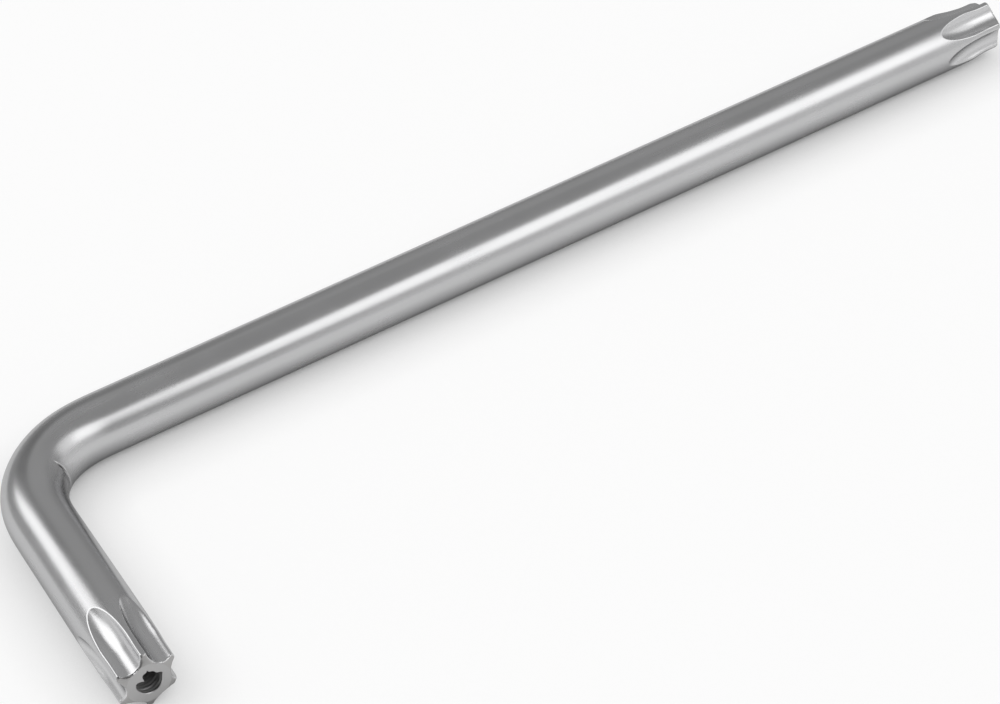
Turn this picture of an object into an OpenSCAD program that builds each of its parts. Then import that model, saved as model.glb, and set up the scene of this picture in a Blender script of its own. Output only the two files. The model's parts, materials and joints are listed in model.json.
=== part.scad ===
// L-shaped star key: one round steel bar, bent square, with six flutes cut into each end
// and a pin hole drilled in each end face.
// The key lies flat. Its long arm runs along +X, its short arm along -Y, and +Z is up.
// The origin is on the surface it lies on, in the middle of the box around the key.
// The bar is described in five stretches that meet face to face: a fluted tip and a plain
// arm on each side of the bend.

/* [Bar] */
// Diameter of the round bar
bar_d = 8.85; // [8:0.05:10]
// Length from the outside of the short arm to the end of the long tip
long_len = 170; // [90:1:260]
// Length from the outside of the long arm to the end of the short tip
short_len = 50.5; // [42:0.5:90]
// Radius of the bend, to the middle of the bar
bend_r = 12.7; // [9:0.1:15]

/* [Star tips] */
// Distance between the floors of two opposite flutes
star_across = 5.9; // [5.6:0.05:7]
// Radius of the round floor of a flute
flute_r = 2.15; // [1.8:0.05:2.6]
// Length of the long tip's flutes at full depth, from its end face
long_flute_len = 3.6; // [2:0.1:8]
// Length of the short tip's flutes at full depth, from its end face
short_flute_len = 4.2; // [2:0.1:8]
// Radius of the wheel that cuts the flutes, which sets how far they run out
wheel_r = 19; // [12:0.5:30]
// Plain bar behind the flutes or the pin hole of each tip, whichever is deeper
collar_len = 2; // [0.5:0.5:4]
// Turn of the long tip's star, from one lobe straight up towards -Y, in degrees
long_star_turn = 7.5; // [-30:0.5:30]
// Turn of the short tip's star, from one lobe straight up towards +X, in degrees
short_star_turn = 5; // [-30:0.5:30]

/* [End faces] */
// Length of the chamfer at each end, along the bar
chamfer_len = 0.6; // [0.2:0.05:1.8]
// Depth of the chamfer at the end face, across the bar
chamfer_depth = 1.4; // [0.4:0.05:1.6]
// Diameter of the pin hole in each end face
hole_d = 3.4; // [2:0.05:4]
// Depth of the pin hole to the start of its drill point
hole_depth = 7; // [3:0.5:9]
// Full angle of the drill point at the bottom of the pin hole, in degrees
drill_angle = 118; // [90:1:150]

/* [Hidden] */
$fn = 96;

// A star of this kind has six lobes
lobe_count = 6;
lobe_step = 360 / lobe_count;
// How far a cutter reaches past the solid that it cuts
overshoot = 1;
// How far the wheel's sweep goes on after it has left the bar, in degrees
sweep_margin = 4;

bar_r = bar_d / 2;
hole_r = hole_d / 2;
root_r = star_across / 2;
drill_point_len = hole_r / tan(drill_angle / 2);

// The wheel lifts out of the bar after it has turned by this angle
flute_depth = bar_r - root_r;
lift_angle = acos((wheel_r - flute_depth) / wheel_r);
run_out_len = wheel_r * sin(lift_angle);

// Each tip holds the whole of its flutes and of its pin hole
hole_reach = hole_depth + drill_point_len;
long_tip_len = max(long_flute_len + run_out_len, hole_reach) + collar_len;
short_tip_len = max(short_flute_len + run_out_len, hole_reach) + collar_len;

// Where the axes of the two arms would cross
crossing_x = bar_r - long_len / 2;
crossing_y = short_len / 2 - bar_r;

// The bend's centre, which is where both plain arms start
bend_x = crossing_x + bend_r;
bend_y = crossing_y - bend_r;

// Where each tip starts, at the far end of its plain arm
long_tip_x = long_len / 2 - long_tip_len;
short_tip_y = short_tip_len - short_len / 2;

steel = [0.66, 0.67, 0.68];

// Turns a shape that stands on +Z so that it lies along the long arm, with its foot at x
module along_long_arm(x) {
    translate([x, crossing_y, bar_r])
        rotate([0, 90, 0])
            children();
}

// Turns a shape that stands on +Z so that it lies along the short arm, with its foot at y
module along_short_arm(y) {
    translate([crossing_x, y, bar_r])
        rotate([90, 0, 0])
            children();
}

// One flute on the +X side of a bar along +Z: full depth from height z up, running out below it
module flute_cutter(z, full_len) {
    translate([root_r + flute_r, 0, z])
        cylinder(r = flute_r, h = full_len + overshoot);
    translate([root_r + wheel_r, 0, z])
        rotate([-90, 0, 180])
            rotate_extrude(angle = lift_angle + sweep_margin)
                translate([wheel_r - flute_r, 0])
                    circle(r = flute_r);
}

// The blank of a tip, standing on +Z, with its end face chamfered
module tip_blank(tip_len) {
    rotate_extrude()
        polygon([
            [0, 0],
            [bar_r, 0],
            [bar_r, tip_len - chamfer_len],
            [bar_r - chamfer_depth, tip_len],
            [0, tip_len]
        ]);
}

// The pin hole and its drill point, for a tip that stands on +Z
module pin_hole(tip_len) {
    bottom = tip_len - hole_depth;
    rotate_extrude()
        polygon([
            [0, bottom - drill_point_len],
            [hole_r, bottom],
            [hole_r, tip_len + overshoot],
            [0, tip_len + overshoot]
        ]);
}

// A fluted and drilled tip that stands on +Z, with one lobe at lobe_angle from +X
module star_tip(tip_len, full_len, lobe_angle) {
    difference() {
        tip_blank(tip_len);
        for (i = [0 : lobe_count - 1])
            rotate([0, 0, lobe_angle + (i + 0.5) * lobe_step])
                flute_cutter(tip_len - full_len, full_len);
        pin_hole(tip_len);
    }
}

module long_star_tip() {
    // Lying along the long arm, straight up is 180 degrees from the tip's own +X
    color(steel)
        along_long_arm(long_tip_x)
            star_tip(long_tip_len, long_flute_len, 180 + long_star_turn);
}

module long_arm() {
    color(steel)
        along_long_arm(bend_x)
            cylinder(r = bar_r, h = long_tip_x - bend_x);
}

module bend() {
    color(steel)
        translate([bend_x, bend_y, bar_r])
            rotate([0, 0, 90])
                rotate_extrude(angle = 90)
                    translate([bend_r, 0])
                        circle(r = bar_r);
}

module short_arm() {
    color(steel)
        along_short_arm(bend_y)
            cylinder(r = bar_r, h = bend_y - short_tip_y);
}

module short_star_tip() {
    // Lying along the short arm, straight up is 90 degrees from the tip's own +X
    color(steel)
        along_short_arm(short_tip_y)
            star_tip(short_tip_len, short_flute_len, 90 - short_star_turn);
}

long_star_tip();
long_arm();
bend();
short_arm();
short_star_tip();
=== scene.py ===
"""Gives an L-shaped star key its looks, around the solids that hold its construction.

The bar is shaped straight, with its flutes, chamfers and pin holes, and is then bent into place.
"""

import json
import math
from dataclasses import dataclass

import bpy
import numpy as np
from bpy.props import FloatProperty, FloatVectorProperty, PointerProperty
from mathutils import Matrix, Vector


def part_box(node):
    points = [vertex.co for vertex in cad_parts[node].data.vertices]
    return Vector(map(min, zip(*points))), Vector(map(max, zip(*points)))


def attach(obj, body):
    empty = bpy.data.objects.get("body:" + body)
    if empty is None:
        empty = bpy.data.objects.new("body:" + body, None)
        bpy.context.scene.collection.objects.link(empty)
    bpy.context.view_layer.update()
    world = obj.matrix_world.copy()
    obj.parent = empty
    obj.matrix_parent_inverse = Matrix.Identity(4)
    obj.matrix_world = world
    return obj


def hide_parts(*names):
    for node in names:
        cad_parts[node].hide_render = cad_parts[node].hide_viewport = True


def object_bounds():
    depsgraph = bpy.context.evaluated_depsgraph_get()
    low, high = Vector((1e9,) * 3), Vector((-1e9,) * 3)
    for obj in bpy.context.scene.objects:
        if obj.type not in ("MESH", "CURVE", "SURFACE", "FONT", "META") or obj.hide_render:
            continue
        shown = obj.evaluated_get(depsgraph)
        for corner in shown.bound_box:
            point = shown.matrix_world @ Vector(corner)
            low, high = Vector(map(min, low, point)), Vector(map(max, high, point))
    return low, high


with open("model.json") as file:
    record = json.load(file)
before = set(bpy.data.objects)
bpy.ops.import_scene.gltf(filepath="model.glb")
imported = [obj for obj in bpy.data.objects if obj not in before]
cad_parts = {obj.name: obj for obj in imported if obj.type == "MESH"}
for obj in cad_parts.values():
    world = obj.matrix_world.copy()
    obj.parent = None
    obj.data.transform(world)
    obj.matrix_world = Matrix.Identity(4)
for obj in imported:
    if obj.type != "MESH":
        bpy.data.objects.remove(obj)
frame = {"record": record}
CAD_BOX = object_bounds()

bl_info = {
    "name": "Star Key",
    "version": (1, 0, 0),
    "blender": (4, 5, 0),
    "location": "3D View > Sidebar > Star Key",
    "description": "Makes the looks of an L-shaped star key and the stage that it lies on",
    "category": "Object",
}

BODY = "root"

MM = 0.001
FULL_TURN = 2 * math.pi
QUARTER_TURN = math.pi / 2


# Sizes and places that the frame holds, in metres


def mount(name):
    """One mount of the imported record."""
    return next(entry for entry in frame["record"]["mounts"] if entry["name"] == name)


BAR_R = frame["record"]["size"]["bbox_m"][2] / 2
HOLE_R = mount("short_pin_hole")["dims"]["r_mm"] * MM
HOLE_DEPTH = mount("short_pin_hole")["dims"]["length_mm"] * MM
LONG_END = Vector(mount("long_pin_hole")["pos_m"])
SHORT_END = Vector(mount("short_pin_hole")["pos_m"])
LONG_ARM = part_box("long_arm")
SHORT_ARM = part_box("short_arm")

# Where the arms' axes cross, and where the bend's centre is
CROSSING = Vector((SHORT_END.x, LONG_END.y, BAR_R))
BEND_X = LONG_ARM[0].x
BEND_Y = SHORT_ARM[1].y
BEND_R = BEND_X - CROSSING.x

# Places along the straight bar: 0 where the short arm meets the bend, rising towards the long tip
BEND_LEN = BEND_R * QUARTER_TURN
LONG_TIP_START = BEND_LEN + LONG_ARM[1].x - BEND_X
LONG_TIP_END = BEND_LEN + LONG_END.x - BEND_X
SHORT_TIP_START = SHORT_ARM[0].y - BEND_Y
SHORT_TIP_END = SHORT_END.y - BEND_Y


# What a user would change


def length_property(name, description, millimetres):
    """A length, given in millimetres and kept in metres."""
    return FloatProperty(
        name=name, description=description, default=millimetres * MM, unit="LENGTH", precision=6
    )


def angle_property(name, description, degrees):
    """An angle, given in degrees."""
    return FloatProperty(
        name=name, description=description, default=math.radians(degrees), subtype="ANGLE"
    )


def colour_property(name, description, default):
    """A colour."""
    return FloatVectorProperty(
        name=name, description=description, default=default, subtype="COLOR", min=0.0, max=1.0
    )


class StarKeySizes(bpy.types.PropertyGroup):
    """Sizes of the star tips, the pin holes and the crease in the bend."""

    star_across: length_property(
        "Star across flutes", "Distance between the floors of two opposite flutes", 5.9
    )
    flute_r: length_property("Flute radius", "Radius of the round floor of a flute", 2.15)
    wheel_r: length_property(
        "Wheel radius",
        "Radius of the wheel that cuts the flutes, which sets how far they run out",
        19,
    )
    long_flute_len: length_property(
        "Long tip's flutes", "Length of the long tip's flutes at full depth", 3.6
    )
    short_flute_len: length_property(
        "Short tip's flutes", "Length of the short tip's flutes at full depth", 4.2
    )
    long_star_turn: angle_property(
        "Long tip's turn",
        "Turn of the long tip's star, from a lobe straight up towards the inside of the bend",
        7.5,
    )
    short_star_turn: angle_property(
        "Short tip's turn",
        "Turn of the short tip's star, from a lobe straight up towards the inside of the bend",
        5,
    )
    chamfer_len: length_property(
        "Chamfer length", "Length of each end's chamfer, along the bar", 0.6
    )
    chamfer_depth: length_property(
        "Chamfer depth", "Depth of each end's chamfer, across the bar", 1.4
    )
    lobe_edge_r: length_property(
        "Lobe edge radius", "Rounding of the edges between the lobes and the flutes", 0.2
    )
    chamfer_edge_r: length_property(
        "Chamfer edge radius", "Rounding of the chamfer's outer edge", 0.4
    )
    face_edge_r: length_property("Face edge radius", "Rounding of the edge of the end face", 0.2)
    drill_angle: angle_property("Drill point", "Full angle at the bottom of a pin hole", 118)
    burr_size: length_property(
        "Burr", "How far the burr at the mouth of the short tip's hole stands into the hole", 0.95
    )
    drill_mark: length_property(
        "Drill marks", "Depth of the spiral marks that the drill leaves on the wall of a hole", 0.05
    )
    long_lead_in: length_property(
        "Long tip's lead-in",
        "How far the long tip's lobes lie under the round of the bar at its end",
        0.32,
    )
    short_lead_in: length_property(
        "Short tip's lead-in",
        "How far the short tip's lobes lie under the round of the bar at its end",
        0.12,
    )
    low_lobe: length_property(
        "Low lobe", "How much lower than its other lobes the back lobe of the long tip is", 0.4
    )
    worn_corner: length_property(
        "Worn corner", "How far the corner of one lobe of each tip is worn down at its end", 0.32
    )
    crease_angle: angle_property(
        "Crease place", "Where the crease inside the bend lies, from the short arm's side", 38.5
    )
    crease_depth: length_property("Crease depth", "Depth of the crease inside the bend", 0.16)


class StarKeyFinish(bpy.types.PropertyGroup):
    """Colours and gloss of the plated and the unplated steel, whose colour also paints shade."""

    chrome: colour_property("Chrome", "Colour of the satin chrome", (0.5, 0.5, 0.505))
    # The unplated steel's colour, which also paints shade on the end faces, the chamfers and the
    # fold
    bare_steel_and_painted_shade: colour_property(
        "Bare steel", "Colour of the steel where the plating is missing", (0.35, 0.345, 0.34)
    )
    roughness: FloatProperty(
        name="Roughness",
        description="Roughness of the satin chrome",
        default=0.25,
        min=0.0,
        max=1.0,
        subtype="FACTOR",
    )
    grain: length_property("Grain", "Height of the fine grain under the plating", 0.003)


class StarKeyStage(bpy.types.PropertyGroup):
    """The floor, the light and the camera."""

    floor_colour: colour_property("Floor", "Colour of the floor", (0.4, 0.4, 0.4))
    floor_lift: FloatProperty(
        name="Floor lift",
        description="What the floor adds to its own light where the camera or a reflection sees it",
        default=0.68,
        min=0.0,
    )
    room_light: FloatProperty(
        name="Room light",
        description="Brightness of the light from all round, where 1 is white",
        default=0.41,
        min=0.0,
    )
    lamps: FloatProperty(
        name="Lamps",
        description="Share of their own brightness at which all lamps shine",
        default=1.0,
        min=0.0,
    )
    camera_offset: FloatVectorProperty(
        name="Camera place",
        description="The camera's place from the point where the arms' axes cross",
        default=(-43.41 * MM, -240.14 * MM, 211.73 * MM),
        subtype="TRANSLATION",
        unit="LENGTH",
    )
    camera_azimuth: angle_property(
        "Camera azimuth", "Direction that the camera looks from, round the key", -26.1677
    )
    camera_elevation: angle_property(
        "Camera elevation", "Direction that the camera looks from, above the floor", 40.8445
    )
    camera_roll: angle_property(
        "Camera roll", "Turn of the camera about the line that it looks along", 7.4316
    )
    camera_lens: FloatProperty(
        name="Lens",
        description="Focal length of the camera, in millimetres",
        default=85.885,
    )


# Skins of the bar: rings shaped on the straight bar, bent into place and closed at both ends

# The angle past which an edge of a mesh is sharp
SHARP_ANGLE = math.radians(40)

# The bend's curve comes in and goes out over twice this share of its radius, half of that in the
# arm, and its middle line is kept at this many places
EASE = 0.24
PATH_STEPS = 4001


def running_sum(values, step):
    """What a row of values adds up to, from its start to each of its places."""
    return np.concatenate([[0], np.cumsum((values[1:] + values[:-1]) / 2) * step])


def bend_path():
    """The bent bar's middle line: places along the straight bar, with the turn, x and y at each."""
    turned, step = np.linspace(-EASE, QUARTER_TURN + EASE, PATH_STEPS, retstep=True)
    coming = np.clip((turned + EASE) / (2 * EASE), 0, 1)
    going = np.clip((turned - QUARTER_TURN + EASE) / (2 * EASE), 0, 1)
    turn = running_sum(coming - going, step)
    across = running_sum(np.sin(turn), step)
    ahead = running_sum(np.cos(turn), step)

    # The line is made as large as puts its middle as far from the crossing as the round bend's is
    middle = PATH_STEPS // 2
    to_crossing = math.hypot(across[middle], ahead[-1] - ahead[middle])
    scale = (math.sqrt(2) - 1) * BEND_R / to_crossing
    lead = scale * across[-1] - BEND_R
    along = np.linspace(-lead, BEND_LEN + lead, PATH_STEPS)
    return along, turn, CROSSING.x + scale * across, BEND_Y - lead + scale * ahead


PATH_ALONG, PATH_TURN, PATH_X, PATH_Y = bend_path()


def bend_bar(points):
    """Where points of the straight bar lie once it is bent. A point is (along, outward, up)."""
    along, outward, up = np.moveaxis(points, -1, 0)
    turn = np.interp(along, PATH_ALONG, PATH_TURN)
    x = np.interp(along, PATH_ALONG, PATH_X) + np.maximum(along - PATH_ALONG[-1], 0)
    y = np.interp(along, PATH_ALONG, PATH_Y) + np.minimum(along - PATH_ALONG[0], 0)
    return np.stack([x - outward * np.cos(turn), y + outward * np.sin(turn), BAR_R + up], axis=-1)


def angles_round(columns):
    """Equal steps round the bar, as one row."""
    return (np.arange(columns) * FULL_TURN / columns)[None, :]


def ring_points(along, radius, angles):
    """Points round the straight bar, where angle 0 is outward and a quarter turn is up."""
    along, radius, angles = np.broadcast_arrays(along, radius, angles)
    return np.stack([along, radius * np.cos(angles), radius * np.sin(angles)], axis=-1)


def skin_faces(rows, columns):
    """Quads between neighbouring rings, and a fan from each pole to its nearest ring."""
    start = np.arange(columns)
    after = np.roll(start, -1)
    lower = (np.arange(rows - 1) * columns)[:, None]
    upper = lower + columns
    quads = np.stack([lower + start, lower + after, upper + after, upper + start], axis=-1)

    first_pole = np.full(columns, rows * columns)
    last_pole = first_pole + 1
    last_ring = (rows - 1) * columns
    first_fan = np.stack([first_pole, after, start], axis=-1)
    last_fan = np.stack([last_pole, last_ring + start, last_ring + after], axis=-1)
    return quads.reshape(-1, 4).tolist() + first_fan.tolist() + last_fan.tolist()


def add_weights(mesh, name, weights):
    """Keeps one number for each point of the rings, and 0 for the poles."""
    values = np.zeros(len(mesh.vertices), np.float32)
    values[: weights.size] = weights.ravel()
    layer = mesh.attributes.new(name, "FLOAT", "POINT")
    layer.data.foreach_set("value", values)


def add_skin(name, node, rings, poles, weights):
    """A closed piece through rings of the straight bar, between two poles, bent into place.

    weights says for each point of the rings how worn, ground or dull it is, and how far it is
    unplated and painted with shade.
    """
    straight = np.concatenate([rings.reshape(-1, 3), np.asarray(poles)])
    mesh = bpy.data.meshes.new(name)
    mesh.from_pydata(bend_bar(straight).tolist(), [], skin_faces(*rings.shape[:2]))
    mesh.shade_smooth()
    mesh.set_sharp_from_angle(angle=SHARP_ANGLE)

    place = mesh.attributes.new("bar_place", "FLOAT_VECTOR", "POINT")
    place.data.foreach_set("vector", straight.astype(np.float32).ravel())
    for key, weight in weights.items():
        add_weights(mesh, key, weight)
    mesh.materials.append(satin_chrome())

    piece = bpy.data.objects.new(name, mesh)
    bpy.context.scene.collection.objects.link(piece)
    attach(piece, BODY)
    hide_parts(node)


# Star tips: flutes, chamfer, end face and pin hole

LOBES = 6

# Points round a tip, and the distances between its rings
COLUMNS_PER_LOBE = 64
TIP_COLUMNS = COLUMNS_PER_LOBE * LOBES
SIDE_ROW_STEP = 0.1 * MM
CHAMFER_ROW_STEP = 0.03 * MM
HOLE_ROW_STEP = 0.07 * MM

# A tip's surface is searched for under this radius, by halving the distance this many times
SEARCH_R = 1.01 * BAR_R
BISECTIONS = 36

# Edges that turn less or more than these are rounded as if they turned this far
LEAST_TURN = math.radians(8)
MOST_TURN = math.radians(110)

# The broken edge of the hole's rim, and the flat ring that backs it and the edge of the end face
RIM_BREAK = 0.08 * MM
FACE_SUPPORT = 0.1 * MM

# Rings over the rounded edge of the end face
FACE_EDGE_ROWS = 7

# The turning marks on a chamfer
TURNING_PITCH = 0.12 * MM
TURNING_DEPTH = 0.011 * MM

# How far a chamfer and an end face take the unplated steel's darker colour and rougher gloss
# On a chamfer this is turned steel, and its darker tint is partly painted shade
CHAMFER_BARE_AND_SHADE = 0.85
# On an end face the darker tint is painted shade; the same share makes the pin hole's wall and
# point unplated steel
FACE_SHADE_AND_HOLE_BARE = 0.55

# The distance from a chamfer's outer edge over which it takes that tint
CHAMFER_FADE = 0.05 * MM

# The depth from which on the wall of a hole is fully dull
DULL_DEPTH = 0.5 * MM

# The depth under the bar's round at which a flute counts as fully ground
GROUND_DEPTH = 0.2 * MM

# The depths between which the lobes' lead-in fades
LEAD_IN_FADE = (2.5 * MM, 6 * MM)

# The one lobe of each tip that is low or worn: its angle, its width, and the depths between which
# its low top and its worn corner fade
LONG_LOW_ANGLE = math.radians(37.5)
SHORT_LOW_ANGLE = math.radians(215)
LOW_LOBE_WIDTH = math.radians(24)
LOW_LOBE_FADE = (5 * MM, 8 * MM)
CORNER_FADE = (0.2 * MM, 1.3 * MM)

# The spirals that the drill left: one, a shallower one with two starts, and how deep they go on
DRILL_PITCH = 0.55 * MM
SECOND_PITCH = 0.93 * MM
SECOND_STARTS = 2
SECOND_SHARE = 0.7
DRILL_MARK_REACH = 5 * MM

# The long tip's hole has a smaller burr, and the drill stood at another angle in each hole
LONG_BURR_SHARE = 0.4
LONG_DRILL_PHASE = 2.0
SHORT_DRILL_PHASE = 0.6


@dataclass
class MouthMark:
    """A mark at a hole's mouth: its angle round the bar and its width, in degrees, and its size as
    a share of the burr's, below 0 where it stands into the hole."""

    angle: float
    width: float
    share: float


MOUTH_MARKS = (
    MouthMark(angle=50, width=15, share=-1.0),
    MouthMark(angle=138, width=12, share=-0.2),
    MouthMark(angle=160, width=14, share=0.25),
    MouthMark(angle=-30, width=50, share=-0.13),
    MouthMark(angle=95, width=4, share=0.3),
)

# How deep into a hole the marks at its mouth reach
MOUTH_REACH = 0.45 * MM


@dataclass
class Tip:
    """One star tip: where it lies on the straight bar and what its cutters left."""

    name: str
    node: str
    start: float
    end: float
    flute_len: float
    star_turn: float
    burr_size: float
    lead_in: float
    low_lobe: float
    low_angle: float
    drill_phase: float

    @property
    def length(self):
        """Length of the tip along the bar."""
        return abs(self.end - self.start)

    @property
    def inward(self):
        """Direction along the straight bar from the end face into the bar."""
        return math.copysign(1, self.start - self.end)


def star_tips(sizes):
    """The two star tips."""
    long_tip = Tip(
        name="long_tip_plated",
        node="long_star_tip",
        start=LONG_TIP_START,
        end=LONG_TIP_END,
        flute_len=sizes.long_flute_len,
        star_turn=sizes.long_star_turn,
        burr_size=LONG_BURR_SHARE * sizes.burr_size,
        lead_in=sizes.long_lead_in,
        low_lobe=sizes.low_lobe,
        low_angle=LONG_LOW_ANGLE,
        drill_phase=LONG_DRILL_PHASE,
    )
    short_tip = Tip(
        name="short_tip_plated",
        node="short_star_tip",
        start=SHORT_TIP_START,
        end=SHORT_TIP_END,
        flute_len=sizes.short_flute_len,
        star_turn=sizes.short_star_turn,
        burr_size=sizes.burr_size,
        lead_in=sizes.short_lead_in,
        low_lobe=0.0,
        low_angle=SHORT_LOW_ANGLE,
        drill_phase=SHORT_DRILL_PHASE,
    )
    return long_tip, short_tip


def rounded_max(first, second, turn, edge_r):
    """The larger of two distance fields, its edge rounded to edge_r, and how near that edge is.

    turn is the angle between the directions in which the two surfaces face.
    """
    blend = 2 * edge_r * np.sin(turn / 2) * np.tan(turn / 2)
    overlap = np.maximum(blend - np.abs(first - second), 0)
    return np.maximum(first, second) + overlap**2 / (4 * blend), overlap / blend


def fade(depth, start, end):
    """1 down to one depth and 0 from another on, smooth between them."""
    share = np.clip((end - depth) / (end - start), 0, 1)
    return share**2 * (3 - 2 * share)


def hump(angle, middle, width):
    """A smooth hump round the bar, 1 at its middle."""
    off = (angle - middle + math.pi) % FULL_TURN - math.pi
    return np.exp(-((off / width) ** 2))


def tip_field(depth, radius, angle, tip, sizes):
    """How far a point lies outside a star tip, how worn and how ground it is, and how far it is
    unplated and painted with shade.

    depth is from the end face along the bar, and radius and angle are across the bar.
    """
    low_top = tip.low_lobe * fade(depth, *LOW_LOBE_FADE)
    worn_corner = sizes.worn_corner * fade(depth, *CORNER_FADE)
    lower = (low_top + worn_corner) * hump(angle, tip.low_angle, LOW_LOBE_WIDTH)
    lobe_r = BAR_R - tip.lead_in * fade(depth, *LEAD_IN_FADE) - lower
    lobe_angle = QUARTER_TURN + tip.star_turn
    half_step = math.pi / LOBES
    from_flute = (angle - lobe_angle) % (2 * half_step) - half_step
    rise = radius * np.cos(from_flute)
    sideways = radius * np.sin(from_flute)

    # The flute follows the wheel's round rim, which rolls out of the bar behind the full depth
    past = np.maximum(depth - tip.flute_len, 0)
    below_hub = sizes.star_across / 2 + sizes.wheel_r - rise
    swing = np.hypot(past, below_hub)
    from_rim = swing - (sizes.wheel_r - sizes.flute_r)
    gap = np.hypot(from_rim, sideways)
    facing = from_rim * below_hub / swing * np.cos(from_flute) - sideways * np.sin(from_flute)
    turn = np.clip(np.arccos(np.clip(facing / gap, -1, 1)), LEAST_TURN, MOST_TURN)
    past_lobe = radius - lobe_r
    past_flute = sizes.flute_r - gap
    star, lobe_worn = rounded_max(past_lobe, past_flute, turn, sizes.lobe_edge_r)

    chamfer_turn = math.atan2(sizes.chamfer_depth, sizes.chamfer_len)
    past_face = radius - (BAR_R - sizes.chamfer_depth)
    past_cone = past_face * math.cos(chamfer_turn) - depth * math.sin(chamfer_turn)
    past_cone = past_cone + TURNING_DEPTH * np.sin(FULL_TURN * depth / TURNING_PITCH)
    side, cone_worn = rounded_max(star, past_cone, chamfer_turn, sizes.chamfer_edge_r)

    face_turn = np.where(past_cone > star, QUARTER_TURN - chamfer_turn, QUARTER_TURN)
    whole, face_worn = rounded_max(side, -depth, face_turn, sizes.face_edge_r)
    worn = np.maximum(np.maximum(lobe_worn, cone_worn), face_worn)
    ground = np.clip((past_flute - past_lobe) / GROUND_DEPTH, 0, 1)
    # A chamfer is turned steel, and its darker tint is partly painted shade
    bare_and_painted_shade = CHAMFER_BARE_AND_SHADE * np.clip((past_cone - star) / CHAMFER_FADE, 0, 1)
    return whole, worn, ground, bare_and_painted_shade


def tip_radius(depth, angle, tip, sizes):
    """Radius of a star tip at each depth and angle, how worn and ground it is there, and how far it
    is unplated and painted with shade.
    """
    low = np.full(np.broadcast(depth, angle).shape, HOLE_R)
    high = np.full_like(low, SEARCH_R)
    for _ in range(BISECTIONS):
        middle = (low + high) / 2
        outside = tip_field(depth, middle, angle, tip, sizes)[0] > 0
        high = np.where(outside, middle, high)
        low = np.where(outside, low, middle)
    return low, *tip_field(depth, low, angle, tip, sizes)[1:]


def hole_radius(depth, angle, tip, sizes):
    """Radius of a pin hole at each depth and angle."""
    marks = [
        mark.share * hump(angle, math.radians(mark.angle), math.radians(mark.width))
        for mark in MOUTH_MARKS
    ]
    mouth = tip.burr_size * sum(marks) * np.exp(-((depth / MOUTH_REACH) ** 2))
    first = np.sin(FULL_TURN * depth / DRILL_PITCH + angle + tip.drill_phase)
    second = np.sin(FULL_TURN * depth / SECOND_PITCH - SECOND_STARTS * angle + tip.drill_phase)
    spirals = first + SECOND_SHARE * second
    shown = np.clip(1 - depth / DRILL_MARK_REACH, 0, 1) * np.clip(depth / RIM_BREAK - 1, 0, 1)
    return HOLE_R + mouth + sizes.drill_mark * spirals * shown


def side_depths(tip, sizes):
    """Depths of a tip's rings along its side, from its plain end to its end face."""
    lift = math.acos(1 - (BAR_R - sizes.star_across / 2) / sizes.wheel_r)
    flutes_end = tip.flute_len + sizes.wheel_r * math.sin(lift) + SIDE_ROW_STEP
    chamfer_end = sizes.chamfer_len + SIDE_ROW_STEP
    edge_end = 2 * sizes.face_edge_r
    rows = [
        [tip.length],
        np.arange(flutes_end, chamfer_end + SIDE_ROW_STEP / 2, -SIDE_ROW_STEP),
        np.arange(chamfer_end, edge_end + CHAMFER_ROW_STEP / 2, -CHAMFER_ROW_STEP),
        edge_end * np.linspace(1, 0, FACE_EDGE_ROWS) ** 2,
    ]
    return np.concatenate(rows)[:, None]


def make_tip(tip, sizes):
    """A star tip in one closed skin, from its plain end over its end face into its pin hole."""
    angles = angles_round(TIP_COLUMNS)
    at_face = np.zeros((1, 1))

    depths = side_depths(tip, sizes)
    side_r, *side_weights = tip_radius(depths, angles, tip, sizes)

    edge_r = side_r[-1:]
    mouth_r = hole_radius(at_face, angles, tip, sizes) + RIM_BREAK
    face_r = np.concatenate([edge_r - FACE_SUPPORT, mouth_r + FACE_SUPPORT, mouth_r])
    face_depths = np.zeros((len(face_r), 1))

    wall_depths = np.arange(RIM_BREAK, HOLE_DEPTH, HOLE_ROW_STEP)[:, None]
    wall_r = hole_radius(wall_depths, angles, tip, sizes)
    point_slope = 1 / math.tan(sizes.drill_angle / 2)
    point_r = np.broadcast_to(np.array([[HOLE_R], [HOLE_R / 2]]), (2, TIP_COLUMNS))
    point_depths = HOLE_DEPTH + (HOLE_R - point_r[:, :1]) * point_slope

    depths = np.concatenate([depths, face_depths, wall_depths, point_depths])
    radii = np.concatenate([side_r, face_r, wall_r, point_r])
    worn = np.zeros_like(radii)
    ground = np.zeros_like(radii)
    # The end face's darker tint is painted shade; the pin hole's wall and point take it as unplated
    # steel
    bare_and_painted_shade = np.full_like(radii, FACE_SHADE_AND_HOLE_BARE)
    dull = np.clip(depths / DULL_DEPTH, 0, 1) * np.ones_like(radii)
    dull[: len(side_r)] = 0
    for weight, at_side in zip((worn, ground, bare_and_painted_shade), side_weights):
        weight[: len(side_r)] = at_side

    rings = ring_points(tip.end + tip.inward * depths, radii, angles)
    bottom = tip.end + tip.inward * (HOLE_DEPTH + HOLE_R * point_slope)
    poles = [(tip.start, 0, 0), (bottom, 0, 0)]
    weights = {"worn_edge": worn, "ground_flute": ground, "bare_steel_and_painted_shade": bare_and_painted_shade, "dull_wall": dull}
    if tip.inward > 0:
        rings, poles = rings[::-1], poles[::-1]
        weights = {key: weight[::-1] for key, weight in weights.items()}
    add_skin(tip.name, tip.node, rings, poles, weights)


# Plain arms and the bend

# Points round the bar, and the distances between its rings
BAR_COLUMNS = 192
ARM_ROW_STEP = 4 * MM
BEND_ROW_STEP = 0.2 * MM
CREASE_ROW_STEP = 0.035 * MM

# A ring this close to each end of the bend and of an arm makes the shading run on into the next
# stretch
END_LEAD = 0.02 * MM

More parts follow.
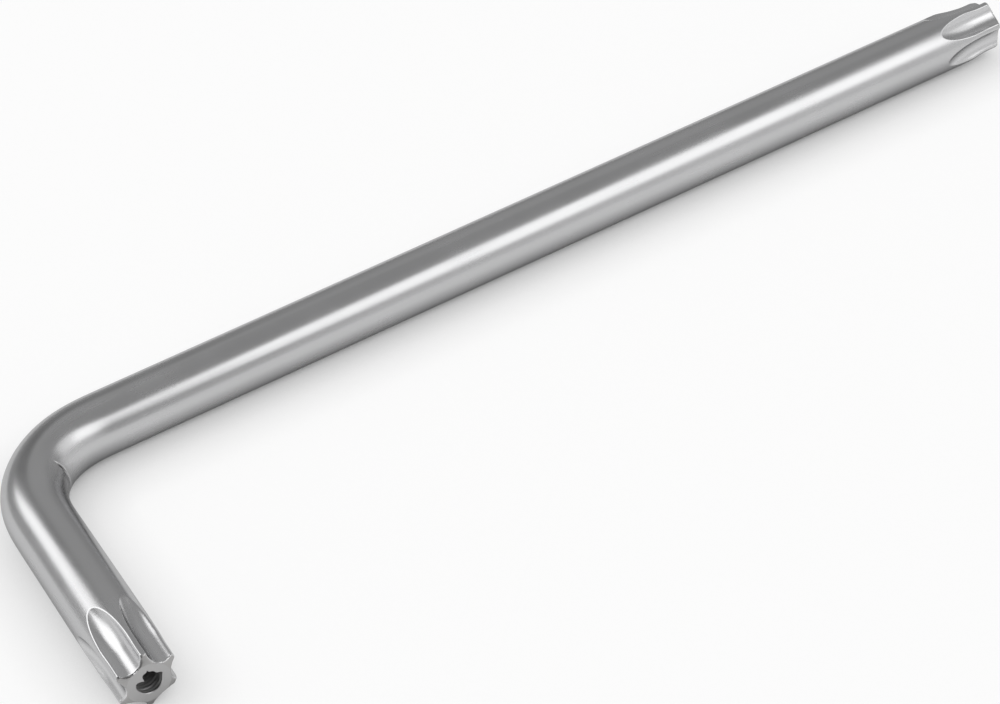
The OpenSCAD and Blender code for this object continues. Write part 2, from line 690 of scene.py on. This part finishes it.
# The crease inside the bend: a gentle slope on the short arm's side and a sharp step on the other
CREASE_SLOPE = 1.8 * MM
CREASE_STEP = 0.14 * MM
CREASE_HALF_TURN = math.radians(46)

# The narrow fold at the crease's upper end, which is darkened with painted shade: its depth as a
# share of the crease's, its half width, its angle round the bar and how far it reaches to both
# sides of that
FOLD_SHARE = 2.2
FOLD_HALF_WIDTH = 0.12 * MM
FOLD_ANGLE = math.radians(148)
FOLD_REACH = math.radians(9)

# The share of its depth from which on the fold is fully painted with shade, in the unplated steel's
# colour and gloss
FOLD_PAINTED_SHADE_FROM = 0.5


def make_bar(name, node, along, radii, weights):
    """A plain stretch of the bar through rings at the given places along it."""
    rings = ring_points(along, radii, angles_round(BAR_COLUMNS))
    poles = [(along[0, 0], 0, 0), (along[-1, 0], 0, 0)]
    add_skin(name, node, rings, poles, weights)


def make_arm(name, node, start, end):
    """A plain round arm between two places along the bar, with more rings where the bend eases."""
    eased = np.arange(PATH_ALONG[0], PATH_ALONG[-1], BEND_ROW_STEP)
    rows = [
        [start, start + END_LEAD],
        np.arange(start + ARM_ROW_STEP, end - ARM_ROW_STEP, ARM_ROW_STEP),
        eased[(eased > start + BEND_ROW_STEP) & (eased < end - BEND_ROW_STEP)],
        [end - END_LEAD, end],
    ]
    make_bar(name, node, np.unique(np.concatenate(rows))[:, None], BAR_R, {})


def crease_share(past, angle):
    """The crease's share of its depth, at distances past its middle and angles round the bar."""
    slope = np.clip(1 + past / CREASE_SLOPE, 0, 1) ** 2
    step = np.clip(1 - past / CREASE_STEP, 0, 1)
    off = np.abs(angle - math.pi)
    window = np.cos(np.clip(off / CREASE_HALF_TURN, 0, 1) * QUARTER_TURN)
    return np.minimum(slope, step) * window


def fold_share(past, angle):
    """The fold's share of its depth, at distances past its middle and angles round the bar."""
    return np.exp(-((past / FOLD_HALF_WIDTH) ** 2)) * hump(angle, FOLD_ANGLE, FOLD_REACH)


def make_bend(sizes):
    """The bent quarter turn, with the crease and the fold that the bending left on its inside."""
    middle = sizes.crease_angle * BEND_R
    slope_start = middle - CREASE_SLOPE
    step_end = middle + CREASE_STEP
    rows = [
        [0, END_LEAD],
        np.arange(BEND_ROW_STEP, slope_start, BEND_ROW_STEP),
        np.arange(slope_start, step_end + CREASE_STEP, CREASE_ROW_STEP),
        np.arange(step_end + CREASE_STEP + BEND_ROW_STEP, BEND_LEN - END_LEAD, BEND_ROW_STEP),
        [BEND_LEN - END_LEAD, BEND_LEN],
    ]
    along = np.concatenate(rows)[:, None]
    angles = angles_round(BAR_COLUMNS)
    crease = crease_share(along - middle, angles)
    fold = fold_share(along - middle, angles)
    radii = BAR_R - sizes.crease_depth * (crease + FOLD_SHARE * fold)
    # The fold is darkened with painted shade, in the unplated steel's colour and gloss
    weights = {"bare_steel_and_painted_shade": np.minimum(fold / FOLD_PAINTED_SHADE_FROM, 1)}
    make_bar("bend_plated", "bend", along, radii, weights)


# Finishes

CHROME_NAME = "satin_chrome_plating"

# How many grains, drawn streaks and clouds of the finish there are to a metre of bar, and how many
# finer layers each of these patterns has
GRAINS_PER_METRE = 3600
GRAIN_LAYERS = 2
STREAKS_PER_METRE = 1500
STREAK_LAYERS = 3
CLOUDS_PER_METRE = 110
CLOUD_LAYERS = 3

# How fast the streaks change along the bar, as a share of how fast they do across it
STREAK_STRETCH = 0.03

# How far the finish strays from its mean
CLOUD_TINT = 0.05
CLOUD_ROUGHNESS = 0.03
STREAK_ROUGHNESS = 0.02

# How high the streaks are on the plain bar and in a flute, as a share of the grain
STREAK_HEIGHT = 0.5
GROUND_STREAK_HEIGHT = 0.9

# How much lighter a ground flute is
GROUND_TINT = 1.12

# How much lighter a worn edge is, the share of the wear that shows, and how much smoother it is
WORN_TINT = 1.25
WORN_SHARE = 0.6
WORN_POLISH = 0.05

# How rough bare steel is, and how much of a dull wall still shines as metal
BARE_ROUGHNESS = 0.45
WALL_METAL = 0.5

# What chrome shines back at a low angle, as a share of what a plain metal does
EDGE_SHINE = 0.7

# A noise keeps mostly between these values
NOISE_LOW = 0.3
NOISE_HIGH = 0.7


class Shader:
    """A node tree, with short ways to add nodes and to join them."""

    def __init__(self, tree):
        self.tree = tree
        tree.nodes.clear()

    def add(self, kind, inputs, **settings):
        """Adds a node. Each input is a plain value, or another node's output."""
        node = self.tree.nodes.new(kind)
        for key, value in settings.items():
            setattr(node, key, value)
        for key, value in inputs.items():
            if isinstance(value, bpy.types.NodeSocket):
                self.tree.links.new(value, node.inputs[key])
            else:
                node.inputs[key].default_value = value
        return node

    def attribute(self, name, output):
        """A value that each point of a mesh keeps."""
        return self.add("ShaderNodeAttribute", {}, attribute_name=name).outputs[output]

    def noise(self, place, scale, detail):
        """A cloudy pattern."""
        return self.add(
            "ShaderNodeTexNoise", {"Vector": place, "Scale": scale, "Detail": detail}
        ).outputs[0]

    def spread(self, noise, low, high):
        """A noise spread over a range."""
        inputs = {0: noise, 1: NOISE_LOW, 2: NOISE_HIGH, 3: low, 4: high}
        return self.add("ShaderNodeMapRange", inputs).outputs[0]

    def math(self, operation, first, second):
        """One step of arithmetic."""
        return self.add("ShaderNodeMath", {0: first, 1: second}, operation=operation).outputs[0]

    def blend(self, factor, first, second):
        """A number between two others."""
        inputs = {0: factor, 2: first, 3: second}
        return self.add("ShaderNodeMix", inputs, data_type="FLOAT").outputs[0]

    def tint(self, factor, first, second):
        """A colour between two others."""
        inputs = {0: factor, 6: first, 7: second}
        return self.add("ShaderNodeMix", inputs, data_type="RGBA").outputs[2]

    def output(self, surface):
        """Ends a material."""
        self.add("ShaderNodeOutputMaterial", {"Surface": surface})


def shade(colour, share):
    """A colour made lighter or darker, and opaque."""
    return tuple(min(1.0, channel * share) for channel in colour) + (1.0,)


def satin_chrome():
    """The plating, with fine grain, drawn streaks and polished edges, and the steel under it, whose
    darker colour is also painted shade.
    """
    made = bpy.data.materials.get(CHROME_NAME)
    if made is not None:
        return made
    finish = bpy.context.scene.star_key_finish
    material = bpy.data.materials.new(CHROME_NAME)
    material.use_nodes = True
    shader = Shader(material.node_tree)

    place = shader.attribute("bar_place", "Vector")
    worn = shader.attribute("worn_edge", "Fac")
    ground = shader.attribute("ground_flute", "Fac")
    bare_and_painted_shade = shader.attribute("bare_steel_and_painted_shade", "Fac")
    dull = shader.attribute("dull_wall", "Fac")
    drawn_inputs = {"Vector": place, "Scale": (STREAK_STRETCH, 1, 1)}
    drawn = shader.add("ShaderNodeMapping", drawn_inputs).outputs[0]
    grain = shader.noise(place, GRAINS_PER_METRE, GRAIN_LAYERS)
    streaks = shader.noise(drawn, STREAKS_PER_METRE, STREAK_LAYERS)
    clouds = shader.noise(place, CLOUDS_PER_METRE, CLOUD_LAYERS)

    darker = shade(finish.chrome, 1 - CLOUD_TINT)
    lighter = shade(finish.chrome, 1 + CLOUD_TINT)
    plated = shader.tint(clouds, darker, lighter)
    wear = shader.math("MULTIPLY", worn, WORN_SHARE)
    cut = shader.tint(ground, plated, shade(finish.chrome, GROUND_TINT))
    edged = shader.tint(wear, cut, shade(finish.chrome, WORN_TINT))
    # The unplated steel's darker colour is the pin holes' own, and on the end faces, the chamfers
    # and the fold it is painted shade
    colour = shader.tint(bare_and_painted_shade, edged, shade(finish.bare_steel_and_painted_shade, 1))

    cloudy = shader.spread(
        clouds, finish.roughness - CLOUD_ROUGHNESS, finish.roughness + CLOUD_ROUGHNESS
    )
    strayed = shader.spread(streaks, -STREAK_ROUGHNESS, STREAK_ROUGHNESS)
    streaky = shader.math("ADD", cloudy, strayed)
    polished = shader.math("SUBTRACT", streaky, shader.math("MULTIPLY", worn, WORN_POLISH))
    roughness = shader.blend(bare_and_painted_shade, polished, BARE_ROUGHNESS)

    drawn_height = shader.blend(ground, STREAK_HEIGHT, GROUND_STREAK_HEIGHT)
    height = shader.math("ADD", grain, shader.math("MULTIPLY", streaks, drawn_height))
    bump_inputs = {"Height": height, "Strength": 1.0, "Distance": finish.grain}
    bump = shader.add("ShaderNodeBump", bump_inputs)
    metal = {
        "Base Color": colour,
        "Metallic": shader.blend(dull, 1.0, WALL_METAL),
        "Roughness": roughness,
        "Specular Tint": (EDGE_SHINE, EDGE_SHINE, EDGE_SHINE, 1.0),
        "Normal": bump.outputs[0],
    }
    shader.output(shader.add("ShaderNodeBsdfPrincipled", metal).outputs[0])
    return material


# Stage: floor, light and camera

# Half the floor's width, in metres, and the width of the camera's sensor, in millimetres
FLOOR_HALF = 6.0
SENSOR_WIDTH = 36.0

# The share of the floor's lift that reflections show
REFLECTED_LIFT = 1.08

# How far from the key its shade takes light off the floor's lift, with how many rays that is found,
# and how steeply it does so in reflections and for the camera
SHADE_REACH = 9 * MM
SHADE_RAYS = 4
REFLECTED_SHADE = 1.4
CAMERA_SHADE = 0.4

# How far off the lamps stand, in metres
LAMP_DISTANCE = 2.5


@dataclass
class Lamp:
    """A flat soft lamp: its direction from the key, the angles that it fills, all in degrees, and
    what it adds to the brightness of the room."""

    name: str
    azimuth: float
    elevation: float
    width: float
    height: float
    brightness: float


LAMPS = (
    Lamp("front_soft_box", azimuth=33, elevation=41.5, width=35, height=30, brightness=0.8),
    Lamp("front_diffuser", azimuth=48, elevation=39.5, width=63, height=39, brightness=0.8),
    Lamp("back_soft_box", azimuth=-134, elevation=49, width=43, height=48, brightness=1.6),
    Lamp("front_card", azimuth=51, elevation=9.5, width=78, height=18, brightness=0.45),
    Lamp("side_card", azimuth=-112, elevation=13.5, width=38, height=28, brightness=0.45),
    Lamp("back_card", azimuth=146, elevation=34, width=40, height=34, brightness=0.07),
)


@dataclass
class DarkSide:
    """A dark part of the room: its direction from the key, the angles within which it is darkest
    and at which it ends, all in degrees, and the share of the room's light that is left there."""

    azimuth: float
    elevation: float
    inner: float
    outer: float
    share: float


DARK_SIDES = (
    DarkSide(azimuth=-32, elevation=40, inner=22, outer=44, share=0.1),
    DarkSide(azimuth=181, elevation=30, inner=6, outer=20, share=0.55),
)


def direction(azimuth, elevation):
    """The direction at an angle round the key, from its front, and an angle above the floor."""
    return Vector(
        (
            math.sin(azimuth) * math.cos(elevation),
            -math.cos(azimuth) * math.cos(elevation),
            math.sin(elevation),
        )
    )


def floor_finish(stage):
    """A plain pale floor, lifted for the camera and in reflections, less so in the key's shade."""
    material = bpy.data.materials.new("pale_floor")
    material.use_nodes = True
    shader = Shader(material.node_tree)
    pale = shader.add("ShaderNodeBsdfDiffuse", {"Color": shade(stage.floor_colour, 1)})
    rays = shader.add("ShaderNodeLightPath", {}).outputs
    shade_inputs = {"Distance": SHADE_REACH}
    found = shader.add("ShaderNodeAmbientOcclusion", shade_inputs, samples=SHADE_RAYS)
    open_sky = found.outputs["AO"]
    reflected = shader.math("MAXIMUM", rays["Is Glossy Ray"], rays["Is Transmission Ray"])
    dimmed = shader.math("POWER", open_sky, REFLECTED_SHADE)
    lifted = shader.math("MULTIPLY", dimmed, REFLECTED_LIFT)
    in_reflections = shader.math("MULTIPLY", reflected, lifted)
    shaded = shader.math("POWER", open_sky, CAMERA_SHADE)
    to_camera = shader.math("MULTIPLY", rays["Is Camera Ray"], shaded)
    seen = shader.math("MAXIMUM", to_camera, in_reflections)
    strength = shader.math("MULTIPLY", seen, stage.floor_lift)
    glow = shader.add("ShaderNodeEmission", {"Strength": strength})
    both = shader.add("ShaderNodeAddShader", {0: pale.outputs[0], 1: glow.outputs[0]})
    shader.output(both.outputs[0])
    return material


def make_floor(stage):
    """The floor, as one wide sheet under the key."""
    half = FLOOR_HALF
    corners = [(-half, -half, 0), (half, -half, 0), (half, half, 0), (-half, half, 0)]
    mesh = bpy.data.meshes.new("floor")
    mesh.from_pydata(corners, [], [(0, 1, 2, 3)])
    mesh.materials.append(floor_finish(stage))
    floor = bpy.data.objects.new("floor", mesh)
    bpy.context.scene.collection.objects.link(floor)


def make_room(stage):
    """Even light from all round, except from the dark sides."""
    world = bpy.data.worlds.new("room")
    world.use_nodes = True
    shader = Shader(world.node_tree)
    look = shader.add("ShaderNodeTexCoord", {}).outputs["Generated"]
    light = stage.room_light
    for side in DARK_SIDES:
        towards = direction(math.radians(side.azimuth), math.radians(side.elevation))
        facing = shader.add("ShaderNodeVectorMath", {0: look, 1: towards}, operation="DOT_PRODUCT")
        bounds = {1: math.cos(math.radians(side.outer)), 2: math.cos(math.radians(side.inner))}
        fall = {0: facing.outputs["Value"], **bounds, 3: 1.0, 4: side.share}
        left = shader.add("ShaderNodeMapRange", fall, interpolation_type="SMOOTHSTEP").outputs[0]
        light = shader.math("MULTIPLY", left, light)
    room = shader.add("ShaderNodeBackground", {"Color": (1, 1, 1, 1), "Strength": light})
    shader.add("ShaderNodeOutputWorld", {"Surface": room.outputs[0]})
    bpy.context.scene.world = world


def make_lamps(stage):
    """The soft lamps round the key."""
    middle = (CAD_BOX[0] + CAD_BOX[1]) / 2
    for lamp in LAMPS:
        sheet = bpy.data.lights.new(lamp.name, "AREA")
        sheet.shape = "RECTANGLE"
        sheet.size = 2 * LAMP_DISTANCE * math.tan(math.radians(lamp.width) / 2)
        sheet.size_y = 2 * LAMP_DISTANCE * math.tan(math.radians(lamp.height) / 2)
        sheet.energy = stage.lamps * lamp.brightness * math.pi * sheet.size * sheet.size_y
        towards = direction(math.radians(lamp.azimuth), math.radians(lamp.elevation))
        stand = bpy.data.objects.new(lamp.name, sheet)
        stand.location = middle + towards * LAMP_DISTANCE
        stand.rotation_mode = "QUATERNION"
        stand.rotation_quaternion = towards.to_track_quat("Z", "Y")
        bpy.context.scene.collection.objects.link(stand)


def make_camera(stage):
    """The camera, from its place, its two directions and its roll."""
    back = direction(stage.camera_azimuth, stage.camera_elevation)
    level = Vector((0, 0, 1)).cross(back).normalized()
    upright = back.cross(level)
    axes = Matrix((level, upright, back)).transposed()
    lens = bpy.data.cameras.new("camera")
    lens.sensor_width = SENSOR_WIDTH
    lens.lens = stage.camera_lens
    camera = bpy.data.objects.new("camera", lens)
    turned = axes.to_4x4() @ Matrix.Rotation(-stage.camera_roll, 4, "Z")
    place = CROSSING + Vector(stage.camera_offset)
    camera.matrix_world = Matrix.Translation(place) @ turned
    bpy.context.scene.collection.objects.link(camera)
    bpy.context.scene.camera = camera
    bpy.context.scene.view_settings.view_transform = "Standard"


# Operators, panel and registration


class STARKEY_OT_stage(bpy.types.Operator):
    """Make the floor, the light and the camera"""

    bl_idname = "star_key.stage"
    bl_label = "Make the stage"

    def execute(self, context):
        stage = context.scene.star_key_stage
        make_camera(stage)
        make_floor(stage)
        make_room(stage)
        make_lamps(stage)
        return {"FINISHED"}


class STARKEY_OT_tips(bpy.types.Operator):
    """Make the two fluted, chamfered and drilled tips"""

    bl_idname = "star_key.tips"
    bl_label = "Make the star tips"

    def execute(self, context):
        sizes = context.scene.star_key_sizes
        for tip in star_tips(sizes):
            make_tip(tip, sizes)
        return {"FINISHED"}


class STARKEY_OT_arms(bpy.types.Operator):
    """Make the two plain arms"""

    bl_idname = "star_key.arms"
    bl_label = "Make the arms"

    def execute(self, context):
        make_arm("long_arm_plated", "long_arm", BEND_LEN, LONG_TIP_START)
        make_arm("short_arm_plated", "short_arm", SHORT_TIP_START, 0)
        return {"FINISHED"}


class STARKEY_OT_bend(bpy.types.Operator):
    """Make the bend between the arms"""

    bl_idname = "star_key.bend"
    bl_label = "Make the bend"

    def execute(self, context):
        make_bend(context.scene.star_key_sizes)
        return {"FINISHED"}


class STARKEY_PT_panel(bpy.types.Panel):
    """The star key's sizes, finishes and steps"""

    bl_idname = "STARKEY_PT_panel"
    bl_label = "Star Key"
    bl_space_type = "VIEW_3D"
    bl_region_type = "UI"
    bl_category = "Star Key"

    def draw(self, context):
        for group_name in GROUPS:
            group = getattr(context.scene, group_name)
            box = self.layout.box()
            for key in group.bl_rna.properties.keys():
                if key not in ("rna_type", "name"):
                    box.prop(group, key)
        for step in STEPS:
            self.layout.operator(step.bl_idname)


GROUPS = {
    "star_key_sizes": StarKeySizes,
    "star_key_finish": StarKeyFinish,
    "star_key_stage": StarKeyStage,
}
STEPS = (STARKEY_OT_stage, STARKEY_OT_tips, STARKEY_OT_arms, STARKEY_OT_bend)


def register():
    """Registers the classes and ties the property groups to the scene."""
    for cls in (*GROUPS.values(), *STEPS, STARKEY_PT_panel):
        bpy.utils.register_class(cls)
    for name, group in GROUPS.items():
        setattr(bpy.types.Scene, name, PointerProperty(type=group))


def unregister():
    """Undoes what register did."""
    for name in GROUPS:
        delattr(bpy.types.Scene, name)
    for cls in (STARKEY_PT_panel, *STEPS, *GROUPS.values()):
        bpy.utils.unregister_class(cls)


def main():
    """Makes the stage and the key."""
    register()
    bpy.ops.star_key.stage()
    bpy.ops.star_key.tips()
    bpy.ops.star_key.arms()
    bpy.ops.star_key.bend()


if __name__ == "__main__":
    main()
